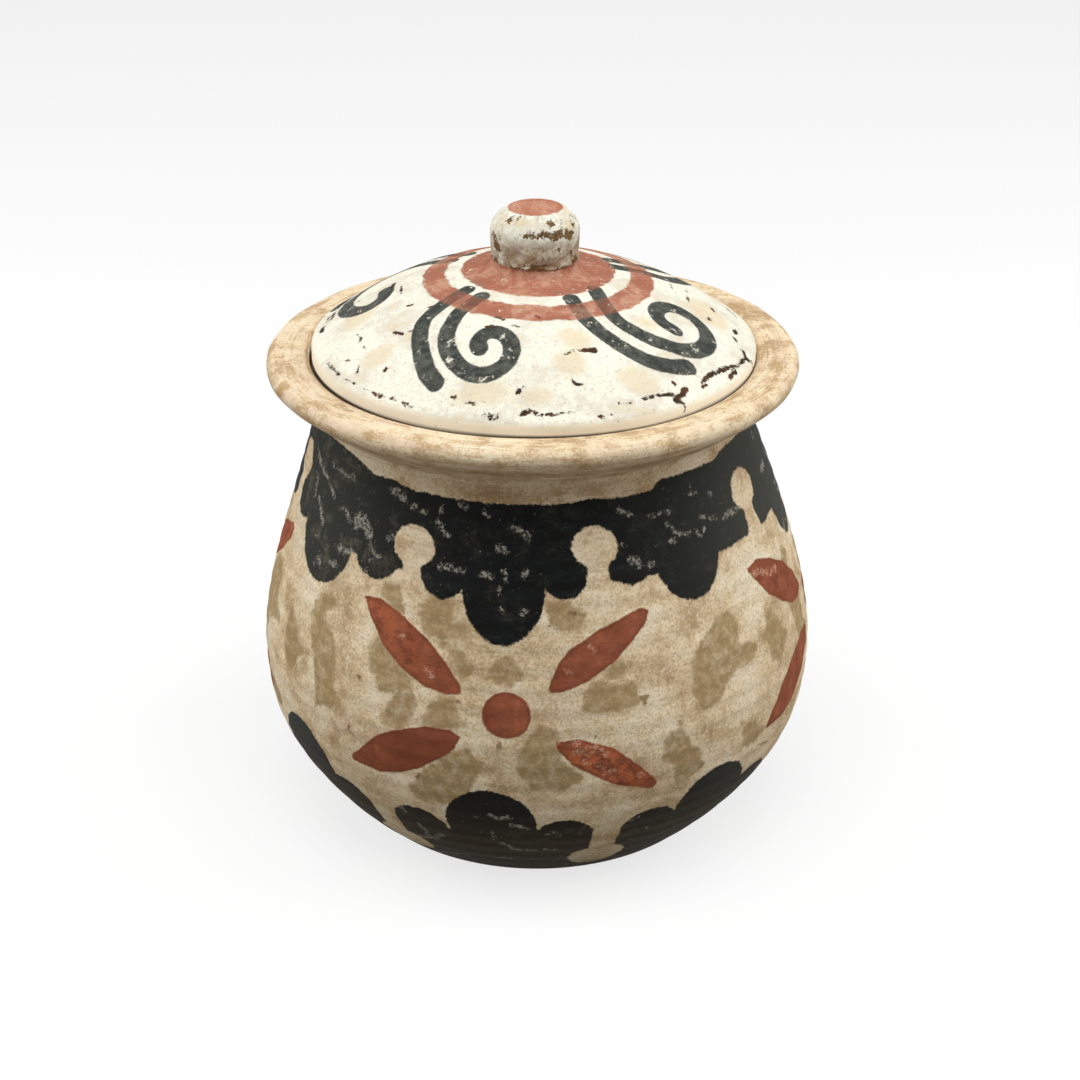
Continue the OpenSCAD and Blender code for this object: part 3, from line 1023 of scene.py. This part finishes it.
def chalk_ground(p):
    """Chalky white, clouded, with a sandy grain, small specks and soft tan dabs."""
    clouds = p.noise(0.06, 9, 0.75)
    stops = ((0.32, CHALK_TAN), (0.44, CHALK_GREY), (0.52, CHALK))
    base = p.ramp(clouds, *stops)
    grain = p.noise(0.8, 4, 0.7)
    base = p.stain(base, CHALK_GREY, grain, 0.5, 0.36, 0.7)
    sand = p.noise(1.3, 2, 0.6, p.moved((9, 23, 5)))
    base = p.stain(base, CHALK_TAN, sand, 0.54, 0.68, 0.6)
    speck = p.noise(0.95, 3, 0.6, p.moved((2, 13, 29)))
    base = p.stain(base, SPECK, speck, 0.655, 0.7, 0.7)
    edge = p.add(p.shaken(0.12, 3, 2), p.shaken(0.45, 2.6, 6, 0.75))
    base = p.mix(p.times(p.edged("dab", edge, 1.8), 0.65), base, CHALK_TAN)
    return base, grain


def scroll_paint(p, base, scrape):
    """Black scrolls, scraped through here and there."""
    fuzz = p.add(p.shaken(0.15, 0.5), p.shaken(0.9, 0.35))
    black = p.edged("scroll", fuzz, 0.3)
    rub = p.times(p.step(scrape, 0.58, 0.63), 0.85)
    ink = p.ramp(p.noise(0.3, 6, 0.7), (0.4, LID_BLACK), (0.66, LID_BLACK_WORN))
    return p.mix(p.times(black, p.flipped(rub)), base, ink), black


def ring_paint(p, base, black, scrape):
    """Terracotta disc and ring, thin over the scrolls and scuffed."""
    brick = p.edged("ring", p.shaken(0.2, 1.6, at=p.moved((5, 9, 2))), 0.5)
    tone = p.noise(0.075, 9, 0.76)
    stops = ((0.41, LID_BRICK_DULL), (0.46, LID_BRICK), (0.52, LID_BRICK_MID), (0.6, LID_BRICK_PALE))
    scuff = p.noise(0.5, 8, 0.78, p.moved((7, 7, 1)))
    thin = p.times(p.step(p.math("MAXIMUM", scrape, scuff), 0.66, 0.61), 0.95)
    over = p.times(brick, p.math("MULTIPLY_ADD", black, -0.45, thin))
    return p.mix(over, base, p.ramp(tone, *stops))


def chipped(p):
    """Ragged chips, with stray flecks in between."""
    ragged = p.add(p.shaken(0.35, 1.2, 3), p.shaken(1.2, 0.8, 4, 0.7))
    chip = p.edged("chip", ragged, 0.2)
    stray = p.noise(0.75, 4, 0.62, p.moved((3, 41, 17)))
    return p.math("MAXIMUM", chip, p.step(stray, 0.7, 0.72))


def chip_colour(p):
    """Dark ground that shows in a chip."""
    return p.ramp(p.noise(0.12, 4, 0.6), (0.44, CHIP), (0.6, CHIP_BROWN))


def knob_material():
    """The knob: plaster, greyish tan and darker on its lower half, with crust, a terracotta cap and
    chips.
    """
    p = Paint("worn_knob")
    worn = p.field("worn")
    clouds = p.noise(0.14, 8, 0.75)
    base = p.ramp(clouds, (0.38, CHALK_TAN), (0.48, CHALK_GREY), (0.58, CHALK))
    grain = p.noise(0.9, 4, 0.7)
    darkening = p.streaks(3, 0.25, 8, 0.75)
    # The lower half is made greyish tan in streaks, darker than the top
    base = p.mix(p.times(worn, p.step(darkening, 0.62, 0.42)), base, KNOB_GREY_TAN)
    crust = p.noise(0.35, 8, 0.78, p.moved((8, 2, 5)))
    base = p.stain(base, CHIP_EARTH, crust, 0.56, 0.64, 0.75)
    base = p.stain(base, KNOB_GREY_TAN, grain, 0.4, 0.3, 0.6)
    cap = p.edged("cap", p.shaken(0.4, 0.9, 4, 0.6), 0.4)
    tone = p.ramp(clouds, (0.42, LID_BRICK_MID), (0.6, LID_BRICK_PALE))
    base = p.mix(p.times(cap, p.flipped(p.times(p.step(grain, 0.6, 0.68), 0.6))), base, tone)
    ragged = p.add(p.shaken(0.5, 3, 5, 0.74), p.shaken(1.5, 1.2, 2))
    chip = p.edged("chip", ragged, 0.2)
    stray = p.step(p.noise(0.6, 4, 0.62, p.moved((3, 41, 17))), 0.69, 0.72)
    chip = p.math("MAXIMUM", chip, stray)
    base = p.mix(chip, base, p.mix(p.step(grain, 0.38, 0.48), chip_colour(p), CHIP_EARTH))
    height = p.add(p.times(grain, 0.2), p.times(chip, -0.5))
    return p.finish(base, 0.85, height, 0.12)


# ---------------------------------------------------------------------- pieces
def is_flat(stretch):
    return np.ptp(stretch[:, 1]) < 0.01


def jar_spacing(stretch):
    inside = stretch[0][1] > 1 and stretch[-1][0] < GALLERY_R - 0.5
    return COARSE if inside or is_flat(stretch) else FINE


def jar_piece():
    """The jar: uneven wall, painted bands, flowers and dabs, and bare clay inside."""
    rng = np.random.default_rng(SEED)
    s = Surface("jar", JAR_COLUMNS, jar_spacing, FINE)
    azimuth, z = s.azimuth, s.height
    crest = int(np.argmax(s.rows[:, 1])) - 1
    ledge = crest + int(np.argmax(s.rows[crest:, 0] < GALLERY_R - 0.5)) - 1
    outside = s.level < crest
    inside = s.level >= ledge
    lump = s.grain(55, 1) * 1.2 + s.grain(22, 2) * 0.45
    rings = np.sin(z / THROW_PITCH * 2 * math.pi + 1.5 * np.sin(s.turn + 0.7))
    middle = smooth(z, 0.5, 14) * (1 - smooth(z, CREST_Z - 12, CREST_Z - 5))
    brim = smooth(z, CREST_Z - 12, CREST_Z - 3) * outside
    s.push = (WOBBLE * lump + THROW_DEPTH * rings) * middle + 0.3 * s.grain(14, 3) * brim
    s.drift = RIM_DRIFT * smooth(z, 110, 162)
    painted = {
        "band": np.maximum(upper_band(azimuth, z), lower_band(azimuth, z)),
        "flower": flowers(azimuth, z),
        "dab": wall_dabs(azimuth, z),
        "rub": wall_rubs(azimuth, z, rng),
        "mark": strokes(round_pot(azimuth, 0), z, MARKS),
    }
    for name, shape in painted.items():
        s.fields[name] = np.where(outside, shape, FAR)
    wear_and_sheen_jar(s, inside)
    paint_jar_shade(s, outside, inside)
    s.fields["bare"] = np.where(inside | (z < 0.05), 1.0, 0.0)
    return s.build("jar_painted")


def wear_and_sheen_jar(s, inside):
    """Where the paint is worn, darker or earthy, where the black is painted paler at the sides as a
    painted sheen, and where the rim's streaks run.
    """
    azimuth, z = s.azimuth, s.height
    left = hump(azimuth, -56, 25)
    right = hump(azimuth, 72, 33)
    petal = 0.9 * hump(azimuth, 13, 12) * (1 - smooth(z, 68, 76))
    rim = 0.6 * smooth(z, 116, 126) + 0.4 * smooth(z, NECK_Z - 4, NECK_Z + 4)
    s.fields["wear"] = np.clip(left * smooth(z, 70, 90) + petal + 0.15, 0, 1)
    # pale: painted sheen, the black lighter towards the left and right sides
    s.fields["pale"] = np.clip(0.7 * left + 1.2 * right, 0, 1)
    s.fields["deep"] = hump(azimuth, -27, 14) * (1 - smooth(z, 70, 78))
    s.fields["earth"] = 1 - smooth(z, 24, 54)
    s.fields["rim"] = np.where(inside, 0, rim)


def paint_jar_shade(s, outside, inside):
    """Painted shade: darker under the rim and in the crease of the neck, in the gap round the lid and
    towards the foot.
    """
    z = s.height
    line = 0.5 + 0.5 * np.sin(5 * s.turn + 1) * np.sin(2.3 * s.turn)
    # Painted shade under the rim's lip, and a darker painted line in the crease of the neck
    crease = 0.45 * hump(z, 163.5, 2.6) + 0.55 * line * hump(z, 158.2, 0.9)
    # Painted shade in the gallery round the lid and along the rim's inner edge, more at the left
    gap = 0.6 * (1 - smooth(z, LEDGE_Z + 3.5, CREST_Z - 1.6))
    edge = 1 - smooth(s.radius, GALLERY_R + 0.4, GALLERY_R + 2.4)
    gap += (z > CREST_Z - 1.6) * (0.3 + 0.5 * hump(s.azimuth, -70, 45)) * edge
    # Painted shade towards the foot
    foot = 0.5 * (1 - smooth(z, 0, 9))
    darkening = np.where(outside, crease, gap) + foot
    s.fields["painted_shade"] = np.where(inside, 0, np.clip(darkening, 0, 1))


def lid_spacing(stretch):
    under = stretch[0][0] < 1 and stretch[0][1] < DOME_TOP_Z
    return COARSE / 2 if under or is_flat(stretch) else LID_FINE


def lid_piece():
    """The lid: chalky white with terracotta rings, black scrolls and chips."""
    rng = np.random.default_rng(SEED + 1)
    s = Surface("lid", LID_COLUMNS, lid_spacing, LID_FINE)
    x, y, z = s.x, s.y, s.height
    seat = int(np.argmax(s.rows[:, 0] > LID_R - 0.1)) - 1
    top = s.level > seat
    free = 1 - smooth(s.radius, LID_R - 4, LID_R - 1)
    s.push = (0.3 * s.grain(40, 4) + 0.15 * s.grain(15, 5)) * free * top
    s.push += LID_SPREAD * smooth(s.radius, LID_R - 4, LID_R - 0.5) * smooth(z, LEDGE_Z, LEDGE_Z + 5)
    s.drift = np.full(len(x), LID_DRIFT)
    s.lift = -math.tan(math.radians(LID_LEAN)) * x * smooth(z, LEDGE_Z, LEDGE_Z + 6)
    s.fields["scroll"] = np.where(top, lid_scrolls(x, y), FAR)
    s.fields["ring"] = np.where(top, lid_rings(x, y), FAR)
    chips = np.where(top & (z > LID_EDGE_Z - 3), lid_chips(x, y, rng), FAR)
    s.fields["chip"] = chips
    s.push -= CHIP_DEPTH * smooth(chips, 0.2, 1)
    dabs = [ellipse(x - px, y - py, long, tall) for px, py, long, tall in LID_DABS]
    s.fields["dab"] = np.where(top, union(dabs), FAR)
    s.fields["side"] = np.where(top, 1 - smooth(z, LID_EDGE_Z - 0.9, LID_EDGE_Z - 0.1), 0)
    # Painted shade: a dark line low on the side where the lid meets the rim, fading above it
    met = z + s.lift
    line = 1 - smooth(met, CREST_Z - 1.5, CREST_Z - 0.9)
    below = smooth(met, CREST_Z - 4.5, CREST_Z - 2.8)
    s.fields["painted_shade"] = np.where(top, line * (0.3 + 0.7 * below), 0)
    s.fields["bare"] = np.where(top, 0.0, 1.0)
    return s.build("lid_painted")


def knob_spacing(stretch):
    return COARSE / 2 if is_flat(stretch) else KNOB_FINE


def knob_piece():
    """The knob: a squat ball with worn plaster, a ragged foot and a terracotta cap."""
    s = Surface("knob", KNOB_COLUMNS, knob_spacing, KNOB_FINE)
    up = s.height - KNOB_FOOT_Z
    ragged = s.grain(2.6, 6) * (1 - smooth(up, 1.5, 3.5))
    s.push = 0.3 * s.grain(12, 7) * smooth(up, 0, 4) + 0.9 * ragged * (up > 0.01)
    s.drift = np.full(len(up), KNOB_DRIFT)
    s.lift = -math.tan(math.radians(LID_LEAN)) * s.x
    s.fields["cap"] = np.where(up > 10, CAP_R - s.radius, FAR)
    s.fields["worn"] = 1 - smooth(s.height, KNOB_DARK_Z - 4, KNOB_DARK_Z + 3)
    chart = ((s.azimuth + 90) % 360 - 90) * KNOB_DEGREE
    lines = [(half, [(at * KNOB_DEGREE, high) for at, high in line]) for half, line in KNOB_CHIPS]
    chips = strokes(chart, up, lines)
    s.push -= CHIP_DEPTH * smooth(chips, -0.3, 0.6)
    foot = 0.2 - up + np.sin(5 * s.turn + 2) + 0.8 * np.sin(11 * s.turn + 1)
    s.fields["chip"] = np.maximum(chips, foot)
    return s.build("knob_painted")


# ----------------------------------------------------------------------- stage
def camera():
    """The camera at the angle and framing of the front view."""
    data = bpy.data.cameras.new("camera")
    data.sensor_width = 36
    data.lens = VIEW_LENS
    data.shift_x = VIEW_SHIFT
    piece = bpy.data.objects.new("camera", data)
    back = VIEW_DISTANCE * math.cos(VIEW_PITCH)
    rise = VIEW_DISTANCE * math.sin(VIEW_PITCH)
    piece.location = Vector(VIEW_TARGET) + Vector((0, -back, rise))
    aim(piece, VIEW_TARGET)
    bpy.context.scene.collection.objects.link(piece)
    bpy.context.scene.camera = piece


def aim(piece, target):
    direction = Vector(target) - piece.location
    piece.rotation_euler = direction.to_track_quat("-Z", "Y").to_euler()


def lamps():
    """Large soft lamps overhead and at both sides."""
    for name, power, side, place, target in LAMPS:
        data = bpy.data.lights.new(name, "AREA")
        data.energy = power
        data.size = side
        piece = bpy.data.objects.new(name, data)
        piece.location = place
        aim(piece, target)
        bpy.context.scene.collection.objects.link(piece)


def surroundings():
    """An even soft sky, seen as plain white."""
    world = bpy.data.worlds.new("surroundings")
    bpy.context.scene.world = world
    world.use_nodes = True
    sky = Nodes(world.node_tree)
    background = world.node_tree.nodes["Background"].inputs
    strength = sky.node("MapRange", {"Value": sky.seen(), "To Min": AMBIENT}, "Result")
    sky.feed(background["Color"], WHITE)
    sky.feed(background["Strength"], strength)


def floor_material():
    """Matt and pale; where it is seen straight or mirrored it also glows to white."""
    p = Paint("floor")
    seen = p.seen()
    p.feed(p.shader["Base Color"], p.mix(seen, FLOOR, FLOOR_SEEN))
    p.feed(p.shader["Roughness"], 1.0)
    p.feed(p.shader["Specular IOR Level"], 0.0)
    matt = p.tree.nodes["Principled BSDF"].outputs[0]
    glow = p.node("Emission", {"Color": WHITE})
    both = p.node("MixShader", {0: p.times(seen, FLOOR_GLOW), 1: matt, 2: glow})
    p.feed(p.tree.nodes["Material Output"].inputs["Surface"], both)
    return p.material


def floor():
    """A plain pale floor that still takes the pot's shadow."""
    half = FLOOR_SIDE / 2
    mesh = bpy.data.meshes.new("floor")
    corners = [(-half, -half, 0), (half, -half, 0), (half, half, 0), (-half, half, 0)]
    mesh.from_pydata(corners, [], [(0, 1, 2, 3)])
    piece = bpy.data.objects.new("floor", mesh)
    bpy.context.scene.collection.objects.link(piece)
    mesh.materials.append(floor_material())


def dress(piece, material, node, body):
    """Gives a piece its material and lets it stand for a CAD node of the same body."""
    piece.data.materials.append(material)
    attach(piece, body)
    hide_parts(node)


bpy.context.scene.view_settings.view_transform = "Standard"
camera()
lamps()
surroundings()
floor()
dress(jar_piece(), jar_material(), "jar", "jar")
dress(lid_piece(), lid_material(), "lid", "lid")
dress(knob_piece(), knob_material(), "knob", "lid")

bpy.context.view_layer.update()
